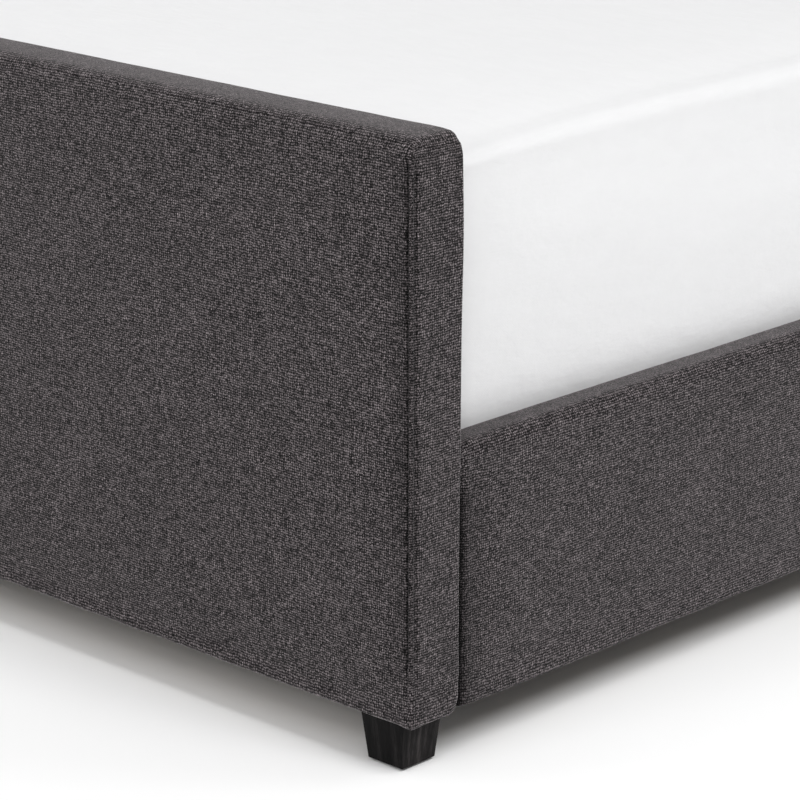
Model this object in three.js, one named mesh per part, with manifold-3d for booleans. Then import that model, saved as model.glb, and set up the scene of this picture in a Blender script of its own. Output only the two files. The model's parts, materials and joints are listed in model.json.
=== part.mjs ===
// Upholstered sleigh bed, queen size, with its mattress.
// Millimetres, +Z up. The origin is on the floor, in the middle of the bed.
// +Y is the head end, -Y the foot end, X is the width.

import * as THREE from 'three';
import { mergeVertices } from 'three/addons/utils/BufferGeometryUtils.js';
import Module from 'manifold-3d';

// ---------------------------------------------------------------- dimensions
const MATTRESS_W = 1524;        // queen, 60 in
const MATTRESS_L = 2032;        // queen, 80 in
const MATTRESS_H = 356;         // 14 in
const MATTRESS_CORNER = 62;     // plan radius of its corners
const END_GAP = 10;             // mattress end to head- or footboard
const SIDE_GAP = 8;             // mattress side to rail

const BOARD_W = 1640;           // outer width of head- and footboard
const BOARD_T = 72;             // their thickness, cover to cover
const GROUND_GAP = 57;          // floor to the underside of boards and rails
const FOOTBOARD_TOP = 657;      // floor to the top of the footboard
const RAIL_TOP = 336;           // floor to the top of the side rails
const RAIL_T = 46;              // rail thickness, cover to cover
const RAIL_RECESS = 4;          // rail face behind the board ends
const RAIL_END_GAP = 3;         // rail end to board face
const EDGE_ROUND = 17;          // roll of the padded top edges

const SWEEP_START = 560;        // height where the headboard starts to lean back
const SWEEP_R = 1510;           // radius of the lean, at mid thickness
const SWEEP_LEN = 582;          // length of the swept part along its middle
const SWEEP_STEPS = 10;

const FABRIC = 4.5;             // cover: woven cloth quilted to its wadding
const PAD_IN = 4.8;             // outside of the foam, inward from the cover face
const PAD_OUT = 12.7;           // inside of the foam
const CORE_IN = 13;             // outside of the timber core
const UNDER = 2.7;              // the cover turned under the boards and rails
const TURN_IN = 14;             // how far it is turned in from each face

const SLAT_TOP = 272;
const SLAT_T = 18;
const SLAT_W = 70;
const SLAT_COUNT = 12;
const LEDGER_W = 30;
const LEDGER_H = 36;

const BEAM_W = 60;
const BEAM_H = 60;
const BEAM_LEG = 42;            // square centre leg
const BEAM_LEG_BOTTOM = 22;
const STEM_R = 5;               // M10 leveller
const STEM_TOP = 68;
const LEV_PAD_R = 21;
const LEV_PAD_H = 9;

const LEG_TOP = 59;             // corner leg, square top and bottom
const LEG_BOTTOM = 48;
const LEG_SET_IN = 47;          // leg centre, inward from the board end
const GLIDE_H = 2;
const GLIDE_R = 17;
const LEG_BOLT_R = 4;

const BRACKET_T = 4;
const BRACKET_ARM = 70;
const BRACKET_Z0 = 96;
const BRACKET_Z1 = 206;
const BOLT_R = 4;               // M8
const BOLT_LEN = 46;
const HEX_R = 7.6;

const GAP = 0.3;                // clearance between touching pieces

// ------------------------------------------------------------- derived places
const HW = BOARD_W / 2;
const INNER_L = MATTRESS_L + 2 * END_GAP;
const REAR_OVERHANG = Math.max(...section(-BOARD_T / 2, BOARD_T / 2, GROUND_GAP, SWEEP_START + SWEEP_LEN,
  EDGE_ROUND, 0, true).map((p) => p.x)) - BOARD_T / 2;
const TOTAL_L = 2 * BOARD_T + INNER_L + REAR_OVERHANG;
const Y_FRONT = -TOTAL_L / 2;                 // outer face of the footboard
const Y_FB_IN = Y_FRONT + BOARD_T;            // its inner face
const Y_HB_IN = Y_FB_IN + INNER_L;            // inner face of the headboard
const RAIL_OUT = HW - RAIL_RECESS;            // |x| of the rail's outer face
const RAIL_IN = RAIL_OUT - RAIL_T;            // |x| of its inner face
const SLAT_BOTTOM = SLAT_TOP - SLAT_T;
const FB_MID = Y_FRONT + BOARD_T / 2;
const HB_MID = Y_HB_IN + BOARD_T / 2;

// ------------------------------------------------------------------ solids
const wasm = await Module();
wasm.setup();

function solid(geometry) {
  const g = geometry.clone();
  g.deleteAttribute('normal');
  g.deleteAttribute('uv');
  const m = mergeVertices(g, 1e-4);
  return new wasm.Manifold(new wasm.Mesh({
    numProp: 3,
    vertProperties: new Float32Array(m.attributes.position.array),
    triVerts: new Uint32Array(m.index.array),
  }));
}

function geometryOf(man) {
  const m = man.getMesh();
  const g = new THREE.BufferGeometry();
  g.setAttribute('position', new THREE.BufferAttribute(new Float32Array(m.vertProperties), 3));
  g.setIndex(new THREE.BufferAttribute(new Uint32Array(m.triVerts), 1));
  const flat = g.toNonIndexed();
  flat.computeVertexNormals();
  return flat;
}

const box = (x0, x1, y0, y1, z0, z1) =>
  new THREE.BoxGeometry(x1 - x0, y1 - y0, z1 - z0)
    .translate((x0 + x1) / 2, (y0 + y1) / 2, (z0 + z1) / 2);

// a closed outline in (y, z), extruded along x
function prismX(points, x0, x1) {
  const g = new THREE.ExtrudeGeometry(new THREE.Shape(points), { depth: x1 - x0, bevelEnabled: false });
  const m = new THREE.Matrix4().makeBasis(
    new THREE.Vector3(0, 1, 0), new THREE.Vector3(0, 0, 1), new THREE.Vector3(1, 0, 0));
  return g.applyMatrix4(m).translate(x0, 0, 0);
}

// a closed outline in (x, z), extruded along y
function prismY(points, y0, y1) {
  const g = new THREE.ExtrudeGeometry(new THREE.Shape(points), { depth: y1 - y0, bevelEnabled: false });
  const m = new THREE.Matrix4().makeBasis(
    new THREE.Vector3(1, 0, 0), new THREE.Vector3(0, 0, 1), new THREE.Vector3(0, -1, 0));
  return g.applyMatrix4(m).translate(0, y1, 0);
}

// a closed outline in (x, y), extruded along z
const prismZ = (points, z0, z1) =>
  new THREE.ExtrudeGeometry(new THREE.Shape(points), { depth: z1 - z0, bevelEnabled: false })
    .translate(0, 0, z0);

const cylZ = (r, x, y, z0, z1, n = 16) =>
  new THREE.CylinderGeometry(r, r, z1 - z0, n).rotateX(Math.PI / 2).translate(x, y, (z0 + z1) / 2);

const cylY = (r, x, z, y0, y1, n = 16) =>
  new THREE.CylinderGeometry(r, r, y1 - y0, n).translate(x, (y0 + y1) / 2, z);

const cut = (a, ...tools) => tools.reduce((s, t) => s.subtract(solid(t)), a);
const join = (a, ...others) => others.reduce((s, t) => s.add(solid(t)), a);

// --------------------------------------------------- section of the two boards
// (u, v): u across the thickness, -BOARD_T/2 in front to +BOARD_T/2 behind,
// v up the middle of the board. The headboard bends back above SWEEP_START.
function bend(u, v, yMid, swept) {
  if (!swept || v <= SWEEP_START) return [yMid + u, v];
  const a = (v - SWEEP_START) / SWEEP_R;
  return [yMid + SWEEP_R - (SWEEP_R - u) * Math.cos(a), SWEEP_START + (SWEEP_R - u) * Math.sin(a)];
}

function levels(v0, v1, swept) {
  const list = [v0];
  if (swept) {
    for (let i = 0; i <= SWEEP_STEPS; i++) {
      const v = SWEEP_START + (SWEEP_LEN * i) / SWEEP_STEPS;
      if (v > v0 + 2 && v < v1 - 2) list.push(v);
    }
  }
  list.push(v1);
  return list;
}

// outline between u0 and u1, from v0 up to v1, with its two top corners rolled
function section(u0, u1, v0, v1, r, yMid, swept) {
  const pts = [];
  const side = levels(v0, v1 - r, swept);
  for (const v of side) pts.push([u0, v]);
  if (r > 0) {
    for (let i = 1; i <= 4; i++) {
      const a = (Math.PI / 2) * (i / 4);
      pts.push([u0 + r * (1 - Math.cos(a)), v1 - r + r * Math.sin(a)]);
    }
    for (let i = 0; i < 4; i++) {
      const a = (Math.PI / 2) * (i / 4);
      pts.push([u1 - r + r * Math.sin(a), v1 - r + r * Math.cos(a)]);
    }
  }
  for (const v of side.slice().reverse()) pts.push([u1, v]);
  return pts.map(([u, v]) => new THREE.Vector2(...bend(u, v, yMid, swept)));
}

// plan outline of a board with softened vertical corners
function plan(hw, y0, y1, r) {
  const pts = [];
  const corner = (cx, cy, a0) => {
    for (let i = 0; i <= 3; i++) {
      const a = a0 + (Math.PI / 2) * (i / 3);
      pts.push(new THREE.Vector2(cx + r * Math.cos(a), cy + r * Math.sin(a)));
    }
  };
  corner(hw - r, y1 - r, 0);
  corner(-hw + r, y1 - r, Math.PI / 2);
  corner(-hw + r, y0 + r, Math.PI);
  corner(hw - r, y0 + r, 1.5 * Math.PI);
  return pts;
}

// bores for the rail bolts, the leg bolts and the beam hanger of one board
const BOLT_X = RAIL_IN - 36;
const BOLT_Z = [BRACKET_Z0 + 26, BRACKET_Z1 - 26];
const LEG_X = HW - LEG_SET_IN;

function boardBores(yMid, inner, r = BOLT_R + 0.5) {
  const bores = [];
  const y0 = inner > 0 ? yMid + BOARD_T / 2 - 46 : yMid - BOARD_T / 2 - 1;
  const y1 = inner > 0 ? yMid + BOARD_T / 2 + 1 : yMid - BOARD_T / 2 + 46;
  for (const sx of [-1, 1]) {
    for (const z of BOLT_Z) bores.push(cylY(r, sx * BOLT_X, z, y0, y1));
    bores.push(cylZ(r, sx * LEG_X, yMid, GROUND_GAP - 1, GROUND_GAP + 48));
  }
  return bores;
}

const meshes = [];
function piece(name, shape, color, roughness, metalness) {
  const geometry = shape instanceof THREE.BufferGeometry ? shape : geometryOf(shape);
  const mesh = new THREE.Mesh(geometry, new THREE.MeshStandardMaterial({ color, roughness, metalness }));
  mesh.name = name;
  meshes.push(mesh);
  return mesh;
}

const CHARCOAL = 0x4a4647, FOAM = 0xd9cfa8, TIMBER = 0xb9976a, PLY = 0xc2a578;
const BLACK_WOOD = 0x1f1d1e, STEEL = 0x9a9a9c, BLACK_STEEL = 0x2b2b2d, NYLON = 0x6b6b6d;
const WHITE_CLOTH = 0xe9e9ea, SLAT_WOOD = 0xcdb083;

// -------------------------------------------------------------------- boards
function board(prefix, yMid, top, swept, inner) {
  const h = BOARD_T / 2;
  const bores = boardBores(yMid, inner);

  // timber core: a stiff frame round a thinner web, recessed on both faces
  const c = h - CORE_IN;
  let core = solid(prismX(section(-c, c, GROUND_GAP + UNDER + GAP, top - CORE_IN, 6, yMid, swept),
    -HW + CORE_IN, HW - CORE_IN));
  const pocketTop = top - CORE_IN - 90;
  for (const [x0, x1] of [[-HW + CORE_IN + 110, -45], [45, HW - CORE_IN - 110]]) {
    for (const [u0, u1] of [[-c - 1, -5], [5, c + 1]]) {
      core = cut(core, prismX(section(u0, u1, GROUND_GAP + 210, pocketTop, 0, yMid, swept), x0, x1));
    }
  }
  core = cut(core, ...bores);
  piece(`${prefix}_core`, core, TIMBER, 0.75, 0);

  // foam jacket over the core, open below
  let foam = solid(prismX(section(-h + PAD_IN, h - PAD_IN, GROUND_GAP + UNDER + GAP, top - PAD_IN, EDGE_ROUND - PAD_IN, yMid, swept),
    -HW + PAD_IN, HW - PAD_IN));
  foam = cut(foam, prismX(section(-h + PAD_OUT, h - PAD_OUT, GROUND_GAP - 5, top - PAD_OUT, 6.3, yMid, swept),
    -HW + PAD_OUT, HW - PAD_OUT), ...bores);
  piece(`${prefix}_padding`, foam, FOAM, 0.95, 0);

  // fabric cover over the foam, turned under and stapled, open along the middle below
  let cover = solid(prismX(section(-h, h, GROUND_GAP, top, EDGE_ROUND, yMid, swept), -HW, HW));
  if (!swept) {
    cover = cover.intersect(solid(prismZ(plan(HW, yMid - h, yMid + h, 5), GROUND_GAP - 5, top + 5)));
  }
  cover = cut(cover, prismX(section(-h + FABRIC, h - FABRIC, GROUND_GAP + UNDER, top - FABRIC, EDGE_ROUND - FABRIC, yMid, swept),
    -HW + FABRIC, HW - FABRIC),
    box(-HW + TURN_IN, HW - TURN_IN, yMid - h + TURN_IN, yMid + h - TURN_IN, GROUND_GAP - 5, GROUND_GAP + UNDER + 1), ...bores);
  piece(`${prefix}_cover`, cover, CHARCOAL, 0.95, 0);
}

board('footboard', FB_MID, FOOTBOARD_TOP, false, +1);
board('headboard', HB_MID, SWEEP_START + SWEEP_LEN, true, -1);

// --------------------------------------------------------------- side rails
const RAIL_Y0 = Y_FB_IN + RAIL_END_GAP;
const RAIL_Y1 = Y_HB_IN - RAIL_END_GAP;

function railSection(inset, z0, r, sx) {
  const xa = RAIL_IN + inset, xb = RAIL_OUT - inset, zt = RAIL_TOP - inset;
  const pts = [[xa, z0], [xb, z0], [xb, zt - r]];
  for (let i = 1; i <= 4; i++) {
    const a = (Math.PI / 2) * (i / 4);
    pts.push([xb - r + r * Math.cos(a), zt - r + r * Math.sin(a)]);
  }
  for (let i = 0; i < 4; i++) {
    const a = (Math.PI / 2) * (i / 4);
    pts.push([xa + r - r * Math.sin(a), zt - r + r * Math.cos(a)]);
  }
  pts.push([xa, zt - r]);
  const out = pts.map(([x, z]) => new THREE.Vector2(sx * x, z));
  return sx > 0 ? out : out.reverse();
}

for (const [side, sx] of [['left', -1], ['right', 1]]) {
  const lo = (a, b) => (sx > 0 ? a : -b);
  const hi = (a, b) => (sx > 0 ? b : -a);
  const xb = (a, b, y0, y1, z0, z1) => box(lo(a, b), hi(a, b), y0, y1, z0, z1);

  piece(`side_rail_board_${side}`,
    solid(xb(RAIL_IN + CORE_IN, RAIL_OUT - CORE_IN, RAIL_Y0 + 10, RAIL_Y1 - 10, GROUND_GAP + UNDER + GAP, RAIL_TOP - CORE_IN - 3)),
    TIMBER, 0.75, 0);

  const foam = cut(solid(prismY(railSection(PAD_IN, GROUND_GAP + UNDER + GAP, EDGE_ROUND - PAD_IN, sx), RAIL_Y0 + PAD_IN, RAIL_Y1 - PAD_IN)),
    xb(RAIL_IN + PAD_OUT, RAIL_OUT - PAD_OUT, RAIL_Y0 + 9.7, RAIL_Y1 - 9.7, GROUND_GAP - 5, RAIL_TOP - CORE_IN - 2.7));
  piece(`side_rail_padding_${side}`, foam, FOAM, 0.95, 0);

  const cover = cut(solid(prismY(railSection(0, GROUND_GAP, EDGE_ROUND, sx), RAIL_Y0, RAIL_Y1)),
    prismY(railSection(FABRIC, GROUND_GAP + UNDER, EDGE_ROUND - FABRIC, sx), RAIL_Y0 + FABRIC, RAIL_Y1 - FABRIC),
    xb(RAIL_IN + TURN_IN, RAIL_OUT - TURN_IN, RAIL_Y0 + TURN_IN, RAIL_Y1 - TURN_IN, GROUND_GAP - 5, GROUND_GAP + UNDER + 1));
  piece(`side_rail_cover_${side}`, cover, CHARCOAL, 0.95, 0);

  // ledger that the slat ends rest on
  piece(`slat_ledger_${side}`,
    solid(xb(RAIL_IN - GAP - LEDGER_W, RAIL_IN - GAP, RAIL_Y0 + 12, RAIL_Y1 - 12,
      SLAT_BOTTOM - GAP - LEDGER_H, SLAT_BOTTOM - GAP)),
    TIMBER, 0.75, 0);
}

// ------------------------------------------- corner brackets and their bolts
for (const [end, sy, yFace] of [['front', 1, Y_FB_IN], ['rear', -1, Y_HB_IN]]) {
  for (const [side, sx] of [['left', -1], ['right', 1]]) {
    const X = (d) => sx * (RAIL_IN - d);          // inward from the rail's inner face
    const Y = (d) => yFace + sy * d;              // inward from the board's inner face
    const bx = (a, b) => [Math.min(X(a), X(b)), Math.max(X(a), X(b))];
    const by = (a, b) => [Math.min(Y(a), Y(b)), Math.max(Y(a), Y(b))];
    let bracket = solid(box(...bx(GAP, GAP + BRACKET_ARM), ...by(GAP, GAP + BRACKET_T), BRACKET_Z0, BRACKET_Z1));
    bracket = join(bracket, box(...bx(GAP, GAP + BRACKET_T), ...by(GAP, GAP + BRACKET_ARM), BRACKET_Z0, BRACKET_Z1));
    for (const z of BOLT_Z) {
      bracket = cut(bracket, cylY(BOLT_R + 0.5, sx * BOLT_X, z, ...by(-2, 8)));
    }
    piece(`rail_bracket_${end}_${side}`, bracket, BLACK_STEEL, 0.45, 0.85);

    for (const [lvl, z] of [['lower', BOLT_Z[0]], ['upper', BOLT_Z[1]]]) {
      const head = 2 * GAP + BRACKET_T;
      const bolt = join(
        solid(cylY(HEX_R, sx * BOLT_X, z, ...by(head, head + 5.5), 6)),
        cylY(BOLT_R, sx * BOLT_X, z, ...by(head + 0.5, head - BOLT_LEN)));
      piece(`rail_bolt_${end}_${side}_${lvl}`, bolt, STEEL, 0.35, 0.9);
    }
  }
}

// --------------------------------------------- corner legs, bolts and glides
for (const [end, y] of [['front', FB_MID], ['rear', HB_MID]]) {
  for (const [side, sx] of [['left', -1], ['right', 1]]) {
    const x = sx * LEG_X;
    const z0 = GLIDE_H + GAP, z1 = GROUND_GAP - GAP;
    const block = new THREE.CylinderGeometry(LEG_TOP / Math.SQRT2, LEG_BOTTOM / Math.SQRT2, z1 - z0, 4)
      .rotateY(Math.PI / 4).rotateX(Math.PI / 2).translate(x, y, (z0 + z1) / 2);
    const leg = cut(solid(block), cylZ(LEG_BOLT_R + 0.5, x, y, 26, GROUND_GAP + 2));
    piece(`corner_leg_${end}_${side}`, leg, BLACK_WOOD, 0.5, 0);
    piece(`leg_bolt_${end}_${side}`, solid(cylZ(LEG_BOLT_R, x, y, 28, GROUND_GAP + 46)), STEEL, 0.4, 0.9);
    piece(`leg_glide_${end}_${side}`, solid(cylZ(GLIDE_R, x, y, 0, GLIDE_H, 24)), NYLON, 0.6, 0);
  }
}

// ------------------------------------------------- centre beam and its legs
const BEAM_Z1 = SLAT_BOTTOM - GAP;
const BEAM_Z0 = BEAM_Z1 - BEAM_H;
piece('centre_beam',
  solid(box(-BEAM_W / 2, BEAM_W / 2, Y_FB_IN + 6, Y_HB_IN - 6, BEAM_Z0, BEAM_Z1)), TIMBER, 0.75, 0);

for (const [end, sy, yFace] of [['front', 1, Y_FB_IN], ['rear', -1, Y_HB_IN]]) {
  const Y = (d) => yFace + sy * d;
  const by = (a, b) => [Math.min(Y(a), Y(b)), Math.max(Y(a), Y(b))];
  const w = BEAM_W / 2 + GAP, t = 3;
  let hanger = solid(box(-w - t - 26, w + t + 26, ...by(GAP, GAP + t), BEAM_Z0 - GAP - t, BEAM_Z1 - 4));
  hanger = join(hanger,
    box(-w - t, w + t, ...by(GAP, 52), BEAM_Z0 - GAP - t, BEAM_Z0 - GAP),
    box(-w - t, -w, ...by(GAP, 52), BEAM_Z0 - GAP - t, BEAM_Z1 - 4),
    box(w, w + t, ...by(GAP, 52), BEAM_Z0 - GAP - t, BEAM_Z1 - 4));
  piece(`beam_hanger_${end}`, hanger, BLACK_STEEL, 0.45, 0.85);
}

const LEG_Y = [Y_FB_IN + INNER_L / 3, Y_FB_IN + (2 * INNER_L) / 3];
LEG_Y.forEach((y, i) => {
  const n = i + 1, b = BEAM_LEG / 2;
  const leg = cut(solid(box(-b, b, y - b, y + b, BEAM_LEG_BOTTOM, BEAM_Z0 - GAP)),
    cylZ(STEM_R + 0.5, 0, y, BEAM_LEG_BOTTOM - 1, STEM_TOP + 4));
  piece(`centre_leg_${n}`, leg, BLACK_WOOD, 0.55, 0);
  piece(`leveller_stem_${n}`, solid(cylZ(STEM_R, 0, y, LEV_PAD_H + GAP, STEM_TOP)), STEEL, 0.35, 0.9);
  const disc = new THREE.LatheGeometry([[0, 0], [LEV_PAD_R, 0], [LEV_PAD_R, 5], [LEV_PAD_R - 6, LEV_PAD_H], [0, LEV_PAD_H]]
    .map(([r, z]) => new THREE.Vector2(r, z)), 24).rotateX(Math.PI / 2).translate(0, y, 0);
  piece(`leveller_pad_${n}`, solid(disc), NYLON, 0.6, 0);
});

// ----------------------------------------------------------------- slats
const PITCH = INNER_L / SLAT_COUNT;
for (let i = 0; i < SLAT_COUNT; i++) {
  const y = Y_FB_IN + PITCH * (i + 0.5);
  piece(`slat_${String(i + 1).padStart(2, '0')}`,
    solid(box(-MATTRESS_W / 2, MATTRESS_W / 2, y - SLAT_W / 2, y + SLAT_W / 2, SLAT_BOTTOM, SLAT_TOP)),
    SLAT_WOOD, 0.7, 0);
}

// ----------------------------------------------------------------- mattress
{
  const y0 = Y_FB_IN + END_GAP, y1 = y0 + MATTRESS_L, hw = MATTRESS_W / 2;
  const z0 = SLAT_TOP + GAP, z1 = z0 + MATTRESS_H;
  const b = 14;                                   // roll of its top and bottom edges
  const shape = new THREE.Shape();
  const r = MATTRESS_CORNER - b, x = hw - b, ya = y0 + b, yb = y1 - b;
  shape.moveTo(-x + r, ya);
  shape.lineTo(x - r, ya);
  shape.absarc(x - r, ya + r, r, -Math.PI / 2, 0, false);
  shape.lineTo(x, yb - r);
  shape.absarc(x - r, yb - r, r, 0, Math.PI / 2, false);
  shape.lineTo(-x + r, yb);
  shape.absarc(-x + r, yb - r, r, Math.PI / 2, Math.PI, false);
  shape.lineTo(-x, ya + r);
  shape.absarc(-x + r, ya + r, r, Math.PI, 1.5 * Math.PI, false);
  const g = new THREE.ExtrudeGeometry(shape, {
    depth: MATTRESS_H - 2 * b, bevelEnabled: true, bevelThickness: b, bevelSize: b, bevelSegments: 3, curveSegments: 6,
  }).translate(0, 0, z0 + b);
  piece('mattress', solid(g), WHITE_CLOTH, 0.9, 0);
}

const bed = new THREE.Group();
for (const m of meshes) bed.add(m);

export default bed;
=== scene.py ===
import json
import math

import bmesh
import bpy
import numpy as np
from mathutils import Matrix, Vector

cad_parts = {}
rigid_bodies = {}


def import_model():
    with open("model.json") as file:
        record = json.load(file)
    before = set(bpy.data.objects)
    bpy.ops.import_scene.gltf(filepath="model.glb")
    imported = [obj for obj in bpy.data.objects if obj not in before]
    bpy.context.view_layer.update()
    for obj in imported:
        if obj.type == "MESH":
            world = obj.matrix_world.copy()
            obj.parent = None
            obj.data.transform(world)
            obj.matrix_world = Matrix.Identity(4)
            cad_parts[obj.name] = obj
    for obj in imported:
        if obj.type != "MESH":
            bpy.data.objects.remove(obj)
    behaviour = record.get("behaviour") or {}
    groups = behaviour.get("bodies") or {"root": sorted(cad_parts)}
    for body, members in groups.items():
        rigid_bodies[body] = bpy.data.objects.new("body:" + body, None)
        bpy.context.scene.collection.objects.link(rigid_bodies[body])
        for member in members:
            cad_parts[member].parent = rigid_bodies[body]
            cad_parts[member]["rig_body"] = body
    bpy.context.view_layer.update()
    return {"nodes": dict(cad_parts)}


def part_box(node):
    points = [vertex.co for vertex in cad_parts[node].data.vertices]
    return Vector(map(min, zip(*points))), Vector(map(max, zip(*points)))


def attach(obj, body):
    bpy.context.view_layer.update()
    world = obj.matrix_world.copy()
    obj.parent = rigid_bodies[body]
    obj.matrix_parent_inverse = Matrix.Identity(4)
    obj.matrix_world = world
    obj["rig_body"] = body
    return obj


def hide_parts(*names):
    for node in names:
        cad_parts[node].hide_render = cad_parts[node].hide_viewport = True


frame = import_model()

MM = 0.001
scene = bpy.context.scene

# --------------------------------------------------------------------- camera
cam_data = bpy.data.cameras.new("camera")
camera = bpy.data.objects.new("camera", cam_data)
scene.collection.objects.link(camera)
cam_data.sensor_width = 36.0
cam_data.lens = 150.69
cam_data.clip_start, cam_data.clip_end = 0.05, 400
camera.location = (2.95589, -3.40712, 1.35964)
yaw, pitch = math.radians(43.611), math.radians(17.127)
forward = Vector((-math.sin(yaw) * math.cos(pitch), math.cos(yaw) * math.cos(pitch), -math.sin(pitch)))
camera.rotation_euler = forward.to_track_quat("-Z", "Y").to_euler()
scene.camera = camera
scene.view_settings.view_transform = "Standard"
scene.view_settings.look = "None"


# ------------------------------------------------------------ node materials
class Net:
    """A node material with a few short ways to add and link nodes."""

    def __init__(self, name, **sockets):
        self.mat = bpy.data.materials.new(name)
        self.mat.use_nodes = True
        self.tree = self.mat.node_tree
        self.shader = next(n for n in self.tree.nodes if n.type == "BSDF_PRINCIPLED")
        for key, value in sockets.items():
            self.shader.inputs[key.replace("_", " ")].default_value = value

    def put(self, socket, value):
        if isinstance(value, bpy.types.NodeSocket):
            self.tree.links.new(value, socket)
        else:
            socket.default_value = value

    def node(self, kind, **props):
        n = self.tree.nodes.new(kind)
        for key, value in props.items():
            setattr(n, key, value)
        return n

    def math(self, op, a, b=0.0, c=0.0):
        n = self.node("ShaderNodeMath", operation=op)
        for socket, value in zip(n.inputs, (a, b, c)):
            self.put(socket, value)
        return n.outputs[0]

    def add(self, *v):
        out = v[0]
        for x in v[1:]:
            out = self.math("ADD", out, x)
        return out

    def mul(self, *v):
        out = v[0]
        for x in v[1:]:
            out = self.math("MULTIPLY", out, x)
        return out

    def span(self, x, a, b, c=0.0, d=1.0, kind="SMOOTHSTEP"):
        n = self.node("ShaderNodeMapRange", interpolation_type=kind)
        for socket, value in zip(n.inputs[:5], (x, a, b, c, d)):
            self.put(socket, value)
        return n.outputs[0]

    def vec(self, x=0.0, y=0.0, z=0.0):
        n = self.node("ShaderNodeCombineXYZ")
        for socket, value in zip(n.inputs, (x, y, z)):
            self.put(socket, value)
        return n.outputs[0]

    def parts(self, v):
        n = self.node("ShaderNodeSeparateXYZ")
        self.put(n.inputs[0], v)
        return n.outputs

    def stretch(self, v, scale, shift=(0, 0, 0)):
        n = self.node("ShaderNodeMapping")
        self.put(n.inputs["Vector"], v)
        n.inputs["Scale"].default_value = scale
        n.inputs["Location"].default_value = shift
        return n.outputs[0]

    def noise(self, v, scale, detail=2.0, rough=0.5, distort=0.0):
        n = self.node("ShaderNodeTexNoise", noise_dimensions="3D")
        self.put(n.inputs["Vector"], v)
        n.inputs["Scale"].default_value = scale
        n.inputs["Detail"].default_value = detail
        n.inputs["Roughness"].default_value = rough
        n.inputs["Distortion"].default_value = distort
        return n.outputs["Fac"] if "Fac" in n.outputs else n.outputs[0]

    def random(self, v):
        n = self.node("ShaderNodeTexWhiteNoise", noise_dimensions="3D")
        self.put(n.inputs["Vector"], v)
        return n.outputs["Value"]

    def place(self, what="Object"):
        return self.node("ShaderNodeTexCoord").outputs[what]

    def uv(self, layer):
        return self.node("ShaderNodeUVMap", uv_map=layer).outputs[0]

    def ramp(self, fac, *stops):
        n = self.node("ShaderNodeValToRGB")
        while len(n.color_ramp.elements) < len(stops):
            n.color_ramp.elements.new(0.5)
        for e, (at, colour) in zip(n.color_ramp.elements, stops):
            e.position = at
            e.color = (*colour, 1)
        self.put(n.inputs[0], fac)
        return n.outputs[0]

    def tint(self, level, colour):
        """A grey level times a colour."""
        n = self.node("ShaderNodeVectorMath", operation="SCALE")
        n.inputs[0].default_value = colour
        self.put(n.inputs["Scale"], level)
        return n.outputs[0]

    def bump(self, height, distance, strength=1.0, below=None):
        n = self.node("ShaderNodeBump")
        n.inputs["Distance"].default_value = distance
        n.inputs["Strength"].default_value = strength
        self.put(n.inputs["Height"], height)
        if below is not None:
            self.put(n.inputs["Normal"], below)
        return n.outputs[0]

    def done(self, colour=None, rough=None, normal=None):
        for name, value in (("Base Color", colour), ("Roughness", rough), ("Normal", normal)):
            if value is not None:
                self.put(self.shader.inputs[name], value)
        return self.mat


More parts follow.
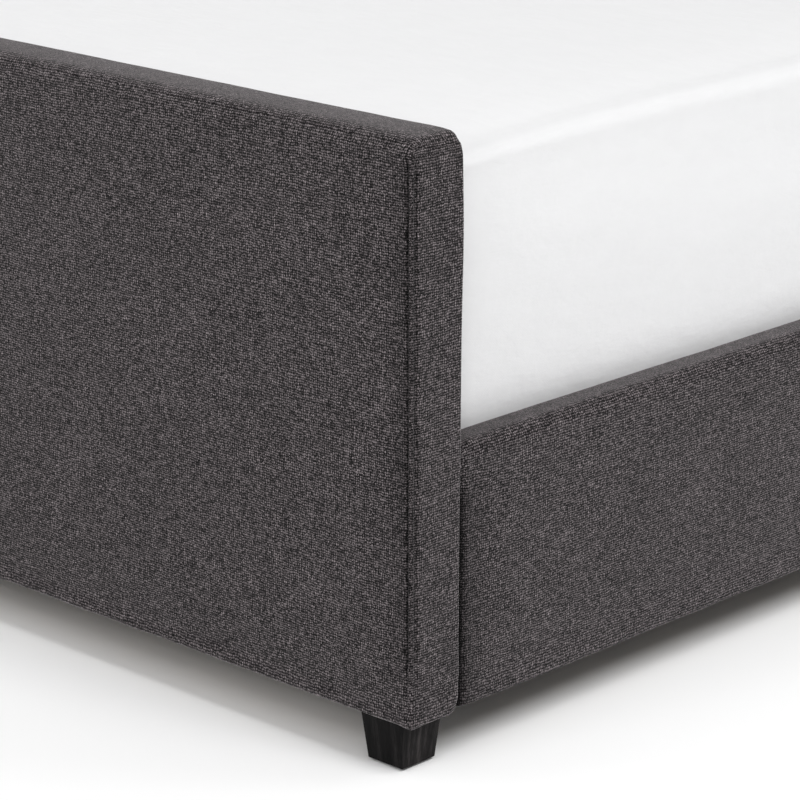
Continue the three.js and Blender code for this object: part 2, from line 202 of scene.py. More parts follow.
def weave_material(name, warp, weft, level, spread, colour, sheen, slubs=1.0, dots=1.0, **sockets):
    """Plain weave of slubby yarns. Warp and weft are the yarn spacings in metres."""
    m = Net(name, Sheen_Weight=sheen, Sheen_Roughness=0.34, Roughness=0.92, **sockets)
    m.shader.inputs["Sheen Tint"].default_value = (0.92, 0.88, 0.89, 1)
    m.shader.inputs["Specular IOR Level"].default_value = 0.12
    flat = m.uv("weave")
    U, V, _ = m.parts(flat)
    # yarns wander a little
    drift = m.math("SUBTRACT", m.noise(flat, 38.0, 2.0), 0.5)
    drift2 = m.math("SUBTRACT", m.noise(m.stretch(flat, (1, 1, 1), (3.1, 7.7, 0)), 210.0, 1.0), 0.5)
    v = m.math("DIVIDE", m.add(V, m.mul(drift, 0.004), m.mul(drift2, -0.0010)), weft)
    iv = m.math("FLOOR", v)
    fv = m.math("SUBTRACT", m.math("SUBTRACT", v, iv), 0.5)
    # each row of weft floats starts at its own place
    u = m.add(m.math("DIVIDE", m.add(U, m.mul(drift, 0.006), m.mul(drift2, 0.0011)), warp),
              m.mul(m.random(m.vec(iv, 2.5, 0.5)), 7.0))
    iu = m.math("FLOOR", u)
    fu = m.math("SUBTRACT", m.math("SUBTRACT", u, iu), 0.5)
    cell = m.random(m.vec(iu, iv, 0.5))
    cell2 = m.random(m.vec(iu, iv, 8.5))
    run_weft = m.noise(m.vec(m.mul(u, 0.16), m.mul(iv, 3.37), 0.0), 1.0, 2.0, 0.6)
    # rounded floats, thick and thin, with a dark pit where the warp dives between them
    fat = m.span(run_weft, 0.3, 0.7, 0.86, 1.1)
    across = m.math("COSINE", m.math("DIVIDE", m.mul(fv, 3.0), fat))
    along = m.math("COSINE", m.mul(fu, m.span(cell2, 0.0, 1.0, 2.1, 3.1, kind="LINEAR")))
    high = m.math("MAXIMUM", m.mul(across, m.add(0.42, m.mul(along, 0.58))), 0.0)
    # flecks: light and dark fibres spun into each ply
    ply = m.random(m.vec(m.math("FLOOR", m.mul(u, 1.5)), m.math("FLOOR", m.mul(v, 2.0)), 3.5))
    # heathered colour, as a sum of small changes
    fluff = m.noise(m.stretch(flat, (1.0, 1.3, 1.0)), 1000.0, 1.0, 0.5)
    patch = m.noise(m.stretch(flat, (0.4, 1.0, 1.0), (0.3, 0.9, 0)), 95.0, 3.0, 0.62)
    broad = m.noise(m.stretch(flat, (0.55, 1.0, 1.0), (5.0, 2.0, 0)), 14.0, 2.0, 0.5)
    t = m.add(
        m.mul(m.math("SUBTRACT", high, 0.50), 2.0 * dots),
        m.mul(m.math("SUBTRACT", cell, 0.5), 0.4),
        m.mul(m.math("SUBTRACT", ply, 0.5), 2.1),
        m.mul(m.math("SUBTRACT", run_weft, 0.5), 0.2 * slubs),
        m.mul(m.math("SUBTRACT", fluff, 0.5), 3.0),
        m.mul(m.math("SUBTRACT", patch, 0.5), 0.36 * slubs),
        m.mul(m.math("SUBTRACT", broad, 0.5), 0.2 * slubs),
    )
    # the warp shows between them as faint upright ribs
    U2 = m.math("DIVIDE", m.add(U, m.mul(drift, 0.006), m.mul(drift2, 0.0011)), 0.0029)
    column = m.noise(m.vec(m.mul(m.math("FLOOR", U2), 3.37), m.mul(v, 0.25), 4.0), 1.0, 2.0, 0.6)
    t = m.add(t, m.mul(m.math("SUBTRACT", column, 0.5), 0.8 * slubs), m.mul(m.math("COSINE", m.mul(U2, 2 * math.pi)), 0.42))
    # painted shade: the point attribute read here darkens the cloth in the sewn corners, along the fold under the top
    # wrap and at the rail ends beside the boards
    painted_shading = m.node("ShaderNodeAttribute", attribute_name="painted_shading").outputs["Fac"]
    tone = m.math("POWER", m.math("MAXIMUM", m.add(1.0, m.mul(t, spread)), 0.15), 2.2)
    grey = m.mul(tone, level, m.math("SUBTRACT", 1.0, painted_shading))
    fibre = m.noise(flat, 2600.0, 1.0)
    height = m.add(m.mul(high, 0.8), m.mul(fluff, 0.35), m.mul(fibre, 0.12), m.mul(patch, 0.3))
    return m.done(colour=m.tint(grey, colour), normal=m.bump(height, 0.0007, 0.8))


def knit_material(name):
    """Fine white mattress ticking: small soft cells and a faint cloudiness."""
    m = Net(name, Sheen_Weight=0.12, Sheen_Roughness=0.4, Roughness=0.88)
    m.shader.inputs["Specular IOR Level"].default_value = 0.2
    flat = m.uv("weave")
    U, V, _ = m.parts(flat)
    wob = m.math("SUBTRACT", m.noise(flat, 30.0, 2.0), 0.5)
    u = m.math("SINE", m.mul(m.add(U, m.mul(wob, 0.002)), 2 * math.pi / 0.0019))
    v = m.math("SINE", m.mul(m.add(V, m.mul(wob, 0.002)), 2 * math.pi / 0.0016))
    cells = m.mul(u, v)
    cloud = m.noise(m.stretch(flat, (1.0, 1.6, 1.0)), 22.0, 3.0, 0.6)
    fuzz = m.noise(flat, 1100.0, 2.0)
    grey = m.add(0.768, m.mul(m.math("SUBTRACT", cloud, 0.5), 0.035), m.mul(cells, 0.008), m.mul(m.math("SUBTRACT", fuzz, 0.5), 0.03))
    # painted light and shade from the mattress points: darker along the top edge, lighter low on the sides
    grey = m.mul(grey, m.math("SUBTRACT", 1.0, m.node("ShaderNodeAttribute", attribute_name="painted_shading").outputs["Fac"]))
    pucker = m.noise(m.stretch(flat, (0.8, 1.3, 1.0), (4, 1, 0)), 45.0, 3.0, 0.55)
    height = m.add(m.mul(cells, 0.10), m.mul(fuzz, 0.10), m.mul(pucker, 1.6))
    return m.done(colour=m.tint(grey, (1.0, 1.0, 1.008)), normal=m.bump(height, 0.0012, 0.5))


def wood_material(name, dark, mid, light, along, rough, ring=9.0, fine=1.0, gloss=0.35, uneven=0.0, grip=1.0):
    """Straight-grained wood. along is the axis that the grain follows. uneven paints the faces that look along X
    lighter and the rest darker, as painted light.
    """
    m = Net(name)
    m.shader.inputs["Specular IOR Level"].default_value = gloss
    p = m.place()
    s = [1.0, 1.0, 1.0]
    s["XYZ".index(along)] = 0.06
    q = m.stretch(p, tuple(s))
    warp = m.noise(q, 6.0, 2.0)
    rings = m.noise(m.stretch(p, tuple(x * ring for x in s)), 5.0, 3.0, 0.55, 0.6)
    pores = m.noise(m.stretch(p, tuple(x * (1.0 if x < 1 else 1.0) for x in s)), 420.0 * fine, 3.0, 0.65)
    streak = m.noise(q, 95.0 * fine, 3.0, 0.6)
    t = m.add(m.mul(rings, 0.5), m.mul(streak, 0.4), m.mul(pores, 0.22), m.mul(warp, 0.1), -0.11)
    colour = m.ramp(t, (0.5 - 0.22 * grip, dark), (0.5, mid), (0.5 + 0.24 * grip, light))
    # painted light: faces whose normals point along X are painted lighter and the others darker, standing in for the
    # stronger light on the sides of the legs
    if uneven:
        nx = m.parts(m.place("Normal"))[0]
        scale = m.node("ShaderNodeVectorMath", operation="SCALE")
        m.put(scale.inputs[0], colour)
        m.put(scale.inputs["Scale"], m.add(1.0 - uneven, m.mul(nx, nx, 2.2 * uneven)))
        colour = scale.outputs[0]
    r = m.span(m.add(m.mul(pores, 0.6), m.mul(streak, 0.4)), 0.3, 0.7, rough + 0.1, rough - 0.08)
    height = m.add(m.mul(pores, 0.7), m.mul(streak, 0.6))
    return m.done(colour=colour, rough=r, normal=m.bump(height, 0.0004, 0.55))


def metal_material(name, base, rough, metallic, grain=1.0, speckle=0.2, along=(1, 1, 1)):
    m = Net(name, Metallic=metallic)
    p = m.stretch(m.place(), along)
    a = m.noise(p, 260.0 * grain, 3.0, 0.6)
    b = m.noise(p, 34.0, 3.0, 0.6)
    level = m.add(1.0 - 0.5 * speckle, m.mul(a, speckle * 0.6), m.mul(b, speckle * 0.4))
    r = m.span(m.add(m.mul(a, 0.5), m.mul(b, 0.5)), 0.3, 0.7, rough - 0.07, rough + 0.1)
    return m.done(colour=m.tint(level, base), rough=r, normal=m.bump(a, 0.00025, 0.4))


def foam_material(name):
    m = Net(name, Roughness=0.95)
    p = m.place()
    v = m.node("ShaderNodeTexVoronoi", feature="F1")
    m.put(v.inputs["Vector"], p)
    v.inputs["Scale"].default_value = 420.0
    pore = v.outputs["Distance"]
    age = m.noise(p, 9.0, 3.0, 0.6)
    grey = m.add(0.74, m.mul(pore, -0.22), m.mul(age, 0.16))
    return m.done(colour=m.tint(grey, (1.0, 0.94, 0.80)), normal=m.bump(pore, -0.0009, 0.6))


def nylon_material(name):
    m = Net(name, Roughness=0.5)
    p = m.place()
    a = m.noise(p, 700.0, 2.0)
    b = m.noise(p, 40.0, 2.0)
    grey = m.add(0.125, m.mul(b, 0.05), m.mul(a, 0.02))
    r = m.span(b, 0.3, 0.7, 0.42, 0.6)
    return m.done(colour=m.tint(grey, (1.0, 1.0, 1.02)), rough=r, normal=m.bump(a, 0.0002, 0.4))


WEAVE = weave_material("charcoal_weave", 0.0022, 0.00268, 0.0236, 0.97, (1.0, 0.875, 0.905), 0.42)
KNIT = knit_material("white_ticking")
# painted light: uneven=0.5 paints the leg faces that look along X lighter than their front and back faces
STAIN_Z = wood_material("black_stained_wood", (0.0016, 0.0015, 0.0015), (0.0070, 0.0061, 0.0062), (0.029, 0.026, 0.0255),
                        "Z", 0.6, ring=20.0, fine=2.0, gloss=0.10, uneven=0.5, grip=0.66)
TIMBER_X = wood_material("timber_x", (0.30, 0.225, 0.155), (0.46, 0.365, 0.27), (0.59, 0.49, 0.38), "X", 0.72)
TIMBER_Y = wood_material("timber_y", (0.30, 0.225, 0.155), (0.46, 0.365, 0.27), (0.59, 0.49, 0.38), "Y", 0.72)
SLAT_X = wood_material("slat_wood", (0.42, 0.325, 0.235), (0.61, 0.505, 0.39), (0.75, 0.65, 0.53), "X", 0.62)
BLACK_STEEL = metal_material("black_steel", (0.028, 0.028, 0.030), 0.48, 0.25, grain=3.0, speckle=0.5)
ZINC = metal_material("zinc_steel", (0.62, 0.62, 0.64), 0.33, 1.0, grain=1.0, speckle=0.28, along=(1, 1, 0.25))
NYLON = nylon_material("grey_nylon")
FOAM = foam_material("foam")


# --------------------------------------------------------- smooth random waves
def waves(p, size, seed, octaves=2):
    """Smooth value noise in -1..1 at points p (n, 3), in mm, of feature size `size` mm."""
    rng = np.random.default_rng(seed)
    table = rng.uniform(-1, 1, (32, 32, 32))
    total, amp, norm = np.zeros(len(p)), 1.0, 0.0
    q = np.asarray(p, float) / size + 101.3
    for _ in range(octaves):
        i = np.floor(q).astype(int)
        f = q - i
        f = f * f * (3 - 2 * f)
        acc = 0
        for a in (0, 1):
            for b in (0, 1):
                for c in (0, 1):
                    w = (np.where(a, f[:, 0], 1 - f[:, 0]) * np.where(b, f[:, 1], 1 - f[:, 1])
                         * np.where(c, f[:, 2], 1 - f[:, 2]))
                    acc = acc + w * table[(i[:, 0] + a) % 32, (i[:, 1] + b) % 32, (i[:, 2] + c) % 32]
        total += amp * acc
        norm += amp
        amp *= 0.5
        q = q * 2.03 + 17.7
    return total / norm


def step(x, a, b):
    t = np.clip((x - a) / (b - a), 0, 1)
    return t * t * (3 - 2 * t)


def bell(x, centre, width):
    return np.exp(-((x - centre) / width) ** 2)


# ------------------------------------------------------------ lattice surfaces
def ticks(lo, hi, low, high, coarse):
    """Coordinates from lo to hi: (step, band) near each end, and coarse between."""
    (s0, b0), (s1, b1) = low, high
    n0, n1 = max(1, round(b0 / s0)), max(1, round(b1 / s1))
    m = max(1, round((hi - lo - b0 - b1) / coarse))
    return np.concatenate([np.linspace(lo, lo + b0, n0 + 1)[:-1],
                           np.linspace(lo + b0, hi - b1, m + 1)[:-1],
                           np.linspace(hi - b1, hi, n1 + 1)])


class Lattice:
    """The surface of a box, as a grid of quads on each of its six sides."""

    def __init__(self, X, Y, Z, hole=None):
        self.axes = (X, Y, Z)
        nx, ny, nz = len(X), len(Y), len(Z)
        mask = np.zeros((nx, ny, nz), bool)
        mask[0] = mask[-1] = True
        mask[:, 0] = mask[:, -1] = True
        mask[:, :, 0] = mask[:, :, -1] = True
        idx = np.full((nx, ny, nz), -1)
        idx[mask] = np.arange(mask.sum())
        self.idx, self.mask = idx, mask
        ijk = np.argwhere(mask)
        self.ijk = ijk
        self.P = np.column_stack([X[ijk[:, 0]], Y[ijk[:, 1]], Z[ijk[:, 2]]])
        quads, sides = [], []

        def grid(g, flip, side, keep=None):
            a, b, c, d = g[:-1, :-1], g[1:, :-1], g[1:, 1:], g[:-1, 1:]
            q = np.stack([a, d, c, b] if flip else [a, b, c, d], -1)
            q = q[keep] if keep is not None else q.reshape(-1, 4)
            quads.append(q.reshape(-1, 4))
            sides.append(np.full(len(quads[-1]), side))

        grid(idx[0], True, 0)
        grid(idx[-1], False, 1)
        grid(idx[:, 0], False, 2)
        grid(idx[:, -1], True, 3)
        keep = None
        if hole is not None:
            cx, cy = (X[:-1] + X[1:]) / 2, (Y[:-1] + Y[1:]) / 2
            keep = ~hole(cx[:, None] + 0 * cy[None], cy[None] + 0 * cx[:, None])
        grid(idx[:, :, 0], True, 4, keep)
        grid(idx[:, :, -1], False, 5)
        self.quads, self.sides = np.concatenate(quads), np.concatenate(sides)

    def carry(self, coarse, values):
        """Values at another lattice's points, moved on to this one's, side by side."""
        V = np.zeros(coarse.mask.shape + (3,))
        V[coarse.mask] = values
        out, count = np.zeros((len(self.P), 3)), np.zeros(len(self.P))
        for ax in range(3):
            o = [a for a in range(3) if a != ax]
            for end in (0, -1):
                sel = self.ijk[:, ax] == (0 if end == 0 else len(self.axes[ax]) - 1)
                grid = np.take(V, 0 if end == 0 else V.shape[ax] - 1, axis=ax)
                ga, gb = coarse.axes[o[0]], coarse.axes[o[1]]
                a, b = self.P[sel, o[0]], self.P[sel, o[1]]
                i = np.clip(np.searchsorted(ga, a) - 1, 0, len(ga) - 2)
                j = np.clip(np.searchsorted(gb, b) - 1, 0, len(gb) - 2)
                s = np.clip((a - ga[i]) / (ga[i + 1] - ga[i]), 0, 1)[:, None]
                t = np.clip((b - gb[j]) / (gb[j + 1] - gb[j]), 0, 1)[:, None]
                out[sel] += ((1 - s) * (1 - t) * grid[i, j] + s * (1 - t) * grid[i + 1, j]
                             + (1 - s) * t * grid[i, j + 1] + s * t * grid[i + 1, j + 1])
                count[sel] += 1
        return out / count[:, None]

    def smooth(self, values, rounds):
        e = np.concatenate([self.quads[:, [0, 1]], self.quads[:, [1, 2]], self.quads[:, [2, 3]], self.quads[:, [3, 0]]])
        n = np.zeros(len(self.P))
        np.add.at(n, e[:, 0], 1)
        np.add.at(n, e[:, 1], 1)
        n = np.maximum(n, 1)[:, None]
        for _ in range(rounds):
            acc = np.zeros_like(values)
            np.add.at(acc, e[:, 0], values[e[:, 1]])
            np.add.at(acc, e[:, 1], values[e[:, 0]])
            values = 0.5 * values + 0.5 * acc / n
        return values


def rounded(P, lo, hi, rx, ry, top, bottom):
    """Box-surface points pushed on to a box with rounded edges. rx and ry, arrays or numbers, are the radii
    along X and Y, and top and bottom those along Z. Gives the points and their normals."""
    rx, ry = (np.broadcast_to(r, len(P)).astype(float) for r in (rx, ry))
    q = np.column_stack([
        np.clip(P[:, 0], lo[0] + rx, hi[0] - rx),
        np.clip(P[:, 1], lo[1] + ry, hi[1] - ry),
        np.clip(P[:, 2], lo[2] + bottom, hi[2] - top)])
    rz = np.where(P[:, 2] > (lo[2] + hi[2]) / 2, top, bottom)
    r = np.column_stack([rx, ry, rz])
    d = (P - q) / r
    n = d / np.maximum(np.linalg.norm(d, axis=1, keepdims=True), 1e-9)
    normal = n / r
    normal /= np.maximum(np.linalg.norm(normal, axis=1, keepdims=True), 1e-9)
    return q + n * r, normal


def lay(c, lo, hi, r_lo, r_hi):
    """Where cloth laid round the rounded edges has run to, at c on a side from lo to hi."""
    a, b = lo + r_lo, hi - r_hi
    out = np.where(c < a, a - r_lo * np.arctan((a - c) / r_lo), c)
    return np.where(c > b, b + r_hi * np.arctan((c - b) / r_hi), out)


def make_object(name, co_mm, quads, material, uv=None, smooth=True):
    me = bpy.data.meshes.new(name)
    me.from_pydata((np.asarray(co_mm) * MM).tolist(), [], quads.tolist())
    me.polygons.foreach_set("use_smooth", [smooth] * len(me.polygons))
    if uv is not None:
        layer = me.uv_layers.new(name="weave")
        layer.data.foreach_set("uv", np.asarray(uv, np.float32).reshape(-1))
    me.materials.append(material)
    me.validate()
    me.update()
    ob = bpy.data.objects.new(name, me)
    scene.collection.objects.link(ob)
    return ob


def swell(lattice, co, pressure, cap, frames=20, pins=None, stiff=15.0):
    """Blender's cloth, blown up a little from inside: how far each lattice point moves, in mm, at most cap."""
    me = bpy.data.meshes.new("sim")
    me.from_pydata((co * MM).tolist(), [], lattice.quads.tolist())
    ob = bpy.data.objects.new("sim", me)
    scene.collection.objects.link(ob)
    md = ob.modifiers.new("Cloth", "CLOTH")
    st = md.settings
    st.quality = 6
    st.mass = 0.3
    st.tension_stiffness = st.compression_stiffness = stiff
    st.shear_stiffness = 5
    st.bending_stiffness = 0.5
    st.use_pressure = True
    st.uniform_pressure_force = pressure
    st.effector_weights.gravity = 0
    if pins is not None:
        vg = ob.vertex_groups.new(name="pins")
        for w in np.unique(np.round(pins, 2)):
            if w > 0:
                vg.add([int(i) for i in np.flatnonzero(np.round(pins, 2) == w)], float(w), "REPLACE")
        st.vertex_group_mass = "pins"
        st.pin_stiffness = 1.0
    md.point_cache.frame_start, md.point_cache.frame_end = 1, frames
    for f in range(1, frames + 1):
        scene.frame_set(f)
    done = ob.evaluated_get(bpy.context.evaluated_depsgraph_get())
    new = np.zeros(len(co) * 3)
    done.data.vertices.foreach_get("co", new)
    move = new.reshape(-1, 3) / MM - co
    bpy.data.objects.remove(ob)
    bpy.data.meshes.remove(me)
    scene.frame_set(1)
    length = np.linalg.norm(move, axis=1, keepdims=True)
    return move * (cap * np.tanh(length / cap) / np.maximum(length, 1e-9))


def shell(name, lattice, outer, inner, uv_of, material, painted_shading):
    """One closed skin: the outer surface, the inner one, and the edge where the fabric is cut below."""
    n = len(lattice.P)
    used = np.zeros(n, bool)
    used[lattice.quads.ravel()] = True
    remap = np.cumsum(used) - 1
    quads = remap[lattice.quads]
    m = int(used.sum())
    # cut edges: those that only one quad has
    e = np.concatenate([quads[:, [0, 1]], quads[:, [1, 2]], quads[:, [2, 3]], quads[:, [3, 0]]])
    key = np.sort(e, 1) @ np.array([m, 1])
    _, first, count = np.unique(key, return_index=True, return_counts=True)
    rim = e[first[count == 1]]
    flipped = quads[:, ::-1] + m
    edge = np.column_stack([rim[:, 1], rim[:, 0], rim[:, 0] + m, rim[:, 1] + m])
    co = np.concatenate([outer[used], inner[used]])
    uv_q = uv_of(lattice.P[lattice.quads.ravel()], np.repeat(lattice.sides, 4)).reshape(-1, 4, 2)
    flat = lattice.P[used][:, :2] * MM
    uv_edge = np.concatenate([flat, flat])[edge.ravel()].reshape(-1, 4, 2)
    uv = np.concatenate([uv_q, uv_q[:, ::-1], uv_edge])
    ob = make_object(name, co, np.concatenate([quads, flipped, edge]), material, uv)
    # painted shade, stored per point for the material
    mark = ob.data.attributes.new("painted_shading", "FLOAT", "POINT")
    mark.data.foreach_set("value", np.concatenate([painted_shading[used], painted_shading[used]]).astype(np.float32))
    return ob


# ------------------------------------------------------- places from the frame
fb_lo, fb_hi = (np.array(v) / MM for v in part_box("footboard_cover"))
hb_lo, hb_hi = (np.array(v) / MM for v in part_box("headboard_cover"))
HALF_W = fb_hi[0]
BOARD_T = fb_hi[1] - fb_lo[1]
GROUND = fb_lo[2]
FB_TOP = fb_hi[2]
FB_MID = (fb_lo[1] + fb_hi[1]) / 2
HB_MID = hb_lo[1] + BOARD_T / 2
SWEEP_START, SWEEP_R, SWEEP_LEN = 560.0, 1510.0, 582.0
ROLL = 17.0
SKIN = 4.0
TURN = 14.0


# --------------------------------------------------------- head- and footboard
def seam(s):
    """Relief across the sewn corner. s is the way round it: negative on the broad face."""
    return -2.9 * bell(s, -5.9, 1.5) - 1.7 * bell(s, 7.2, 2.3) - 1.1 * bell(s, 1.5, 7.0)


def shade(s):
    """Painted shade: how much darker the cloth is painted in and beside the two grooves of the sewn corner, over the
    ridge between them and in a broad band on the front face beside it.
    """
    return np.clip(0.62 * bell(s, -6.0, 1.6) + 0.40 * bell(s, 7.0, 2.6) + 0.24 * bell(s, 0.0, 7.0) + 0.26 * bell(s, -14.0, 9.0), 0, 0.78)


def board_surface(P, top, outer_side, seed, billow=None):
    """Outer and inner skin of one board in its own (x, u, v), in mm. outer_side is the u of the seamed face."""
    h = BOARD_T / 2
    x, u, v = P.T
    blend = step(v, top - 26, top - 1)
    small = np.where(outer_side * u > 0, 6.0, 3.6)
    rx = small + (11.5 - small) * np.maximum(blend, step(h - np.abs(u), 6, 26))
    ru = small + (np.where(outer_side * u > 0, 20.0, 11.5) - small) * np.maximum(blend, step(HALF_W - np.abs(x), 8, 42))
    lo, hi = np.array([-HALF_W, -h, GROUND]), np.array([HALF_W, h, top])
    out, n = rounded(P, lo, hi, rx, ru, ROLL, 3.5)

    on_end = np.isclose(np.abs(x), HALF_W)
    on_face = np.isclose(u, outer_side * h)
    from_outer = h - outer_side * u                    # 0 at the seamed face
    s = np.where(on_end, from_outer, -(HALF_W - np.abs(x)))
    near = (on_end | on_face) & (np.abs(s) < 30)
    strong = step(top - v, 12, 24) * (0.3 + 0.7 * step(v, GROUND + 25, GROUND + 95))
    uneven = 1 + 0.35 * waves(np.column_stack([0 * v, s * 0.5, v]), 26, seed + 7, 2)
    relief = np.where(near, seam(s) * strong * uneven, 0.0)
    # the top wrap is turned down over the end panel
    relief += np.where(on_end, -0.9 * bell(v, top - 15.5, 1.9) * step(from_outer, 4, 14) * step(BOARD_T - from_outer, 2, 10), 0)
    relief += np.where(on_end, 0.5 * bell(v, top - 11.0, 3.2), 0)
    # padding: broad faces stand a touch proud between their edges
    inset = np.minimum(HALF_W - np.abs(x), np.minimum(top - v, v - GROUND))
    broad = np.isclose(np.abs(u), h)
    relief += np.where(broad, 1.1 * step(inset, 8, 90), 0)
    on_top = np.isclose(v, top)
    relief += np.where(on_top, 3.6 * np.cos(np.clip(u / h, -1, 1) * math.pi / 2) ** 0.5, 0) * step(HALF_W - np.abs(x), -6, 30)
    # the end panel bows a little between top and bottom
    bow = 2.0 * step(v, GROUND + 120, top - 260) + 2.6 * bell(v, top - 100, 80)
    relief += np.where(on_end, 0.7 * np.sin(np.pi * np.clip(from_outer / BOARD_T, 0, 1)) * step(inset, 4, 40), 0)
    # soft unevenness of cloth over foam
    relief += 0.55 * waves(P, 120, seed, 2) * step(inset + 20, 0, 60) + 0.28 * waves(P * [1, 1, 0.7], 34, seed + 1, 2)
    low = bell(v, GROUND, 26)
    relief += low * 0.8 * waves(P, 30, seed + 2, 1)

    out = out + n * relief[:, None]
    # the inner upright edge of the end swells near the top, and the bottom corner there is tucked round
    inner_edge = step(-outer_side * u, h - 30, h) * step(np.abs(x), HALF_W - 120, HALF_W)
    out[:, 1] -= outer_side * inner_edge * bow
    bump = bell(v, GROUND + 47, 7) * 1.6
    out[:, 1] -= outer_side * inner_edge * bump
    tuck = step(-outer_side * u, h - 16, h) * step(np.abs(x), HALF_W - 30, HALF_W - 6) * step(GROUND + 17 - v, 0, 17)
    out[:, 1] += outer_side * tuck * 5.0
    out[:, 2] += tuck * 4.5
    # the hem along the bottom is not quite straight
    hem = step(GROUND + 30 - v, 0, 30)
    out[:, 2] += hem * (0.9 * waves(np.column_stack([x, u * 0.3, 0 * x]), 70, seed + 3, 2) - 3.9)

    t = SKIN
    P2 = np.column_stack([x * (HALF_W - t) / HALF_W, u * (h - t) / h,
                          GROUND + 2.4 + (v - GROUND) * (top - t - GROUND - 2.4) / (top - GROUND)])
    inn, _ = rounded(P2, lo + [t, t, 2.4], hi - t, np.maximum(rx - t, 2.0), np.maximum(ru - t, 2.0), ROLL - t, 1.2)
    inn[:, 2] += hem * 0.5 * (out[:, 2] - P[:, 2]).clip(-5, 3)
    # painted shade in and beside the grooves of the sewn corner, and along the fold under the top wrap on the end panel
    painted_shading = np.where(near, shade(s) * strong * (0.6 + 0.4 * uneven), 0.0)
    painted_shading = np.maximum(painted_shading, np.where(on_end, 0.22 * bell(v, top - 15.5, 2.4), 0))
    return out, inn, painted_shading


def bend(co, mid, swept):
    """From a board's (x, u, v) to the row frame, in mm."""
    x, u, v = co.T
    if not swept:
        return np.column_stack([x, mid + u, v])
    a = np.maximum(v - SWEEP_START, 0) / SWEEP_R
    y = mid + SWEEP_R - (SWEEP_R - u) * np.cos(a)
    z = np.where(v > SWEEP_START, SWEEP_START + (SWEEP_R - u) * np.sin(a), v)
    return np.column_stack([x, y, z])


def board_uv(top):
    h = BOARD_T / 2

    def of(P, side):
        x, u, v = P.T
        V = lay(v, GROUND, top, 3.5, ROLL)
        edge = top - ROLL + ROLL * math.pi / 4                   # how far the cloth has run at the top front edge
        over = lay(u, -h, h, 20.0, 12.0) - (-h + 20.0 - 20.0 * math.pi / 4)
        wide = h + h - 32.0 + 32.0 * math.pi / 4
        U = lay(x, -HALF_W, HALF_W, 6.0, 6.0)
        U = np.where(side == 5, lay(x, -HALF_W, HALF_W, 13.0, 13.0), U)
        U = np.where(side == 0, lay(u, -h, h, 6.0, 6.0) + 3100, U)
        U = np.where(side == 1, lay(u, -h, h, 6.0, 6.0) + 5300, U)
        V = np.where(side == 5, edge + over, V)                  # over the top
        V = np.where(side == 3, 2 * edge + wide - V, V)          # down the far face
        V = np.where(side == 4, GROUND - (u + h), V)
        return np.column_stack([U, V]) * MM
    return of


def make_board(name, mid, top, swept, outer_side, seed):
    h = BOARD_T / 2
    X = ticks(-HALF_W, HALF_W, (1.45, 20.3), (1.45, 20.3), 15.0)
    Y = ticks(-h, h, (1.6, 17.6), (1.6, 17.6), 5.2)
    Z = ticks(GROUND, top, (2.5, 20.0), (1.9, 26.6), 11.5 if not swept else 14.0)
    hole = lambda x, y: (np.abs(x) < HALF_W - TURN) & (np.abs(y) < h - TURN)
    lat = Lattice(X, Y, Z, hole)
    outer, inner, painted_shading = board_surface(lat.P, top, outer_side, seed)
    # cloth pressed out by its foam, held along the sewn edges
    rough = Lattice(ticks(-HALF_W, HALF_W, (18, 36), (18, 36), 36.0), ticks(-h, h, (18, 18), (18, 18), 18.0),
                    ticks(GROUND, top, (18, 36), (18, 36), 34.0))
    r0, _, _ = board_surface(rough.P, top, outer_side, seed)
    at_edge = (np.isclose(np.abs(rough.P[:, 0]), HALF_W).astype(int) + np.isclose(np.abs(rough.P[:, 1]), h)
               + np.isclose(rough.P[:, 2], top) + np.isclose(rough.P[:, 2], GROUND))
    pins = np.where(at_edge >= 2, 1.0, np.where(np.isclose(rough.P[:, 2], GROUND), 1.0, 0.0))
    move = swell(rough, r0, 1.2, 1.5, pins=pins)
    move = lat.smooth(lat.carry(rough, move), 4)
    move[:, 2] *= 0.3
    keep = step(HALF_W - np.abs(lat.P[:, 0]), 6, 40) * step(top - lat.P[:, 2], 0, 30)
    outer = outer + move * np.maximum(keep, 0.15)[:, None]
    piece = shell(name, lat, bend(outer, mid, swept), bend(inner, mid, swept), board_uv(top), WEAVE, painted_shading)
    return piece


footboard = make_board("footboard_upholstery", FB_MID, FB_TOP, False, -1, 11)
headboard = make_board("headboard_upholstery", HB_MID, SWEEP_START + SWEEP_LEN, True, +1, 23)


